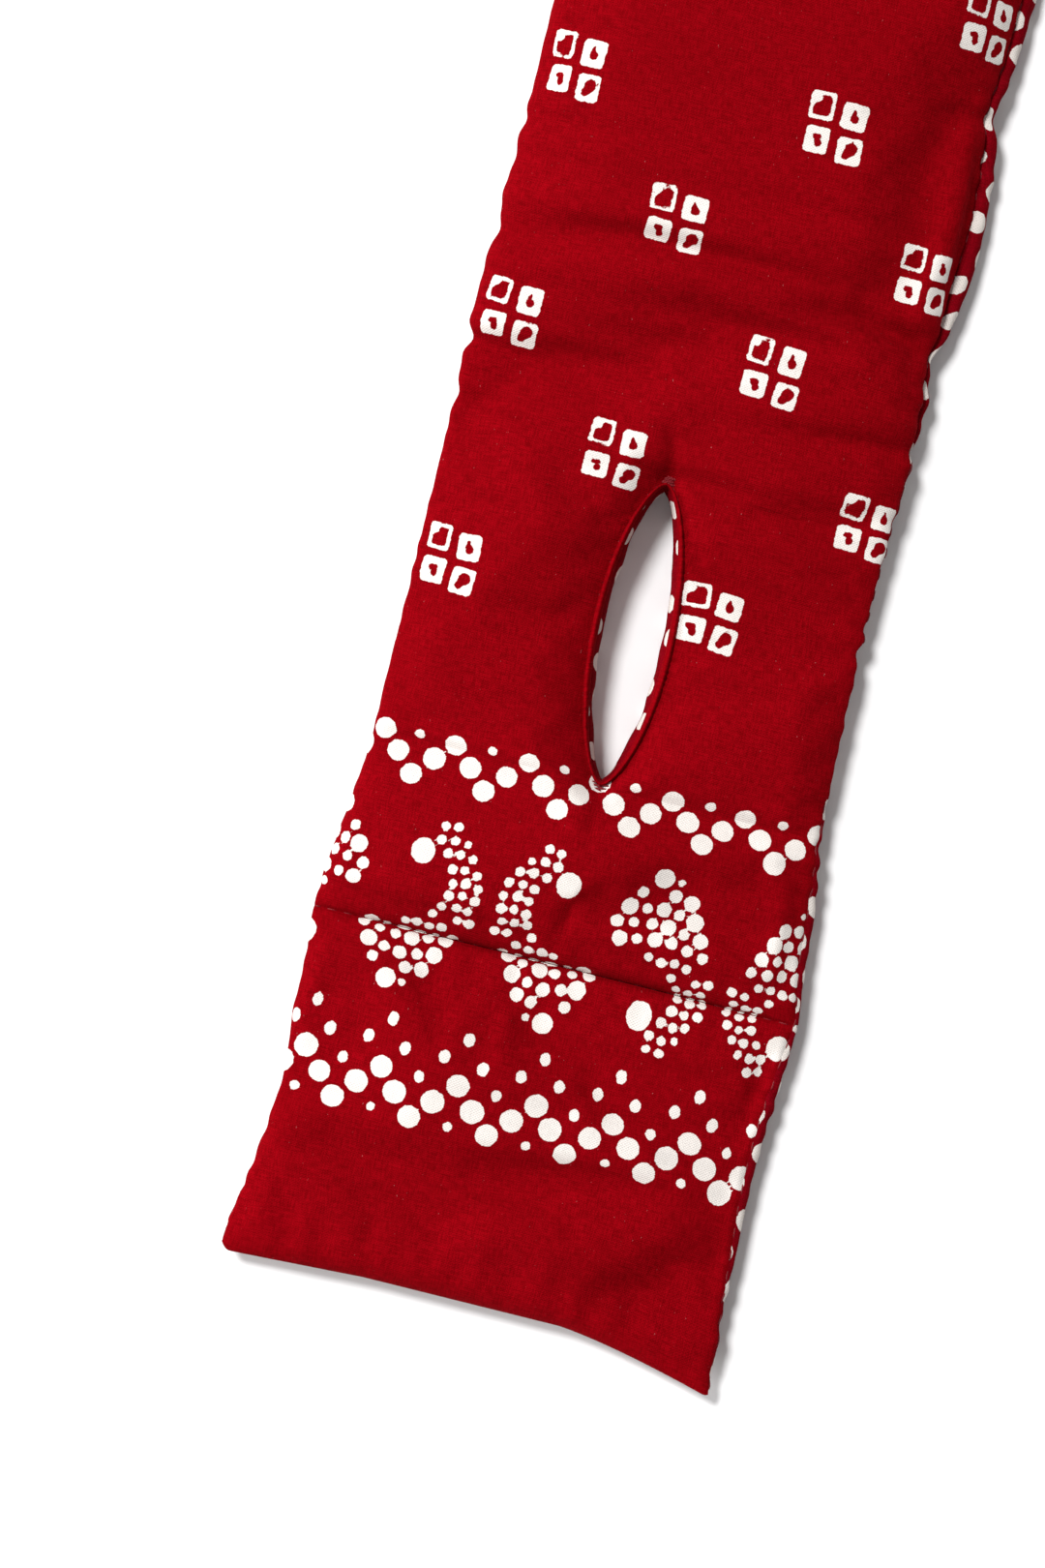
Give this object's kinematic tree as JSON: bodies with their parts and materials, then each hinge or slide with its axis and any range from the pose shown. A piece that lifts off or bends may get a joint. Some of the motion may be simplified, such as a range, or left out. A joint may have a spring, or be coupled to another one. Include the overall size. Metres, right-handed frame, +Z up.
{
  "type": "oven mitt",
  "caption": "Long padded cotton oven cloth with rounded concave ends, quilting lines across it, and a lens-shaped slit that the other end pulls through.",
  "frame": {"origin": "centre of the strip's outline, on the surface it lies on", "axes": "+X across the strip, +Y along it away from the slit, +Z up out of the printed front"},
  "size_m": [0.1394, 0.8398, 0.0205],
  "materials": {
    "printed_cotton": "matte plain-weave cotton, deep red with an off-white print",
    "dotted_cotton": "matte plain-weave cotton, dark red with off-white dots",
    "wadding": "soft matte fibre filling",
    "red_thread": "matte spun sewing thread"
  },
  "bodies": {
    "near_end": {"near_end_front_cover": "printed_cotton", "near_end_back_cover": "dotted_cotton", "near_end_wadding": "wadding", "near_end_edge_thread": "red_thread"},
    "slit_panel": {"slit_panel_front_cover": "printed_cotton", "slit_panel_back_cover": "dotted_cotton", "slit_panel_wadding": "wadding", "slit_panel_edge_thread": "red_thread", "near_quilting_thread": "red_thread", "slit_front_hem": "printed_cotton", "slit_back_hem": "dotted_cotton", "slit_stitching": "red_thread", "slit_tack_lower": "red_thread", "slit_tack_upper": "red_thread"},
    "near_middle": {"near_middle_front_cover": "printed_cotton", "near_middle_back_cover": "dotted_cotton", "near_middle_wadding": "wadding", "near_middle_edge_thread": "red_thread"},
    "far_middle": {"far_middle_front_cover": "printed_cotton", "far_middle_back_cover": "dotted_cotton", "far_middle_wadding": "wadding", "far_middle_edge_thread": "red_thread"},
    "far_panel": {"far_panel_front_cover": "printed_cotton", "far_panel_back_cover": "dotted_cotton", "far_panel_wadding": "wadding", "far_panel_edge_thread": "red_thread", "far_quilting_thread": "red_thread"},
    "far_end": {"far_end_front_cover": "printed_cotton", "far_end_back_cover": "dotted_cotton", "far_end_wadding": "wadding", "far_end_edge_thread": "red_thread", "far_closing_stitches": "red_thread"}
  },
  "joints": [
    {"name": "near_end_fold", "type": "hinge", "parent": "slit_panel", "child": "near_end", "pos_m": [0, -0.321, 0.008], "axis": [-1, 0, 0], "range_deg": [-110, 110]},
    {"name": "first_bend", "type": "hinge", "parent": "slit_panel", "child": "near_middle", "pos_m": [0, -0.02, 0.008], "axis": [1, 0, 0], "range_deg": [-60, 60]},
    {"name": "second_bend", "type": "hinge", "parent": "near_middle", "child": "far_middle", "pos_m": [0, 0.09367, 0.008], "axis": [1, 0, 0], "range_deg": [-60, 60]},
    {"name": "third_bend", "type": "hinge", "parent": "far_middle", "child": "far_panel", "pos_m": [0, 0.20733, 0.008], "axis": [1, 0, 0], "range_deg": [-60, 60]},
    {"name": "far_end_fold", "type": "hinge", "parent": "far_panel", "child": "far_end", "pos_m": [0, 0.321, 0.008], "axis": [1, 0, 0], "range_deg": [-110, 110]}
  ]
}
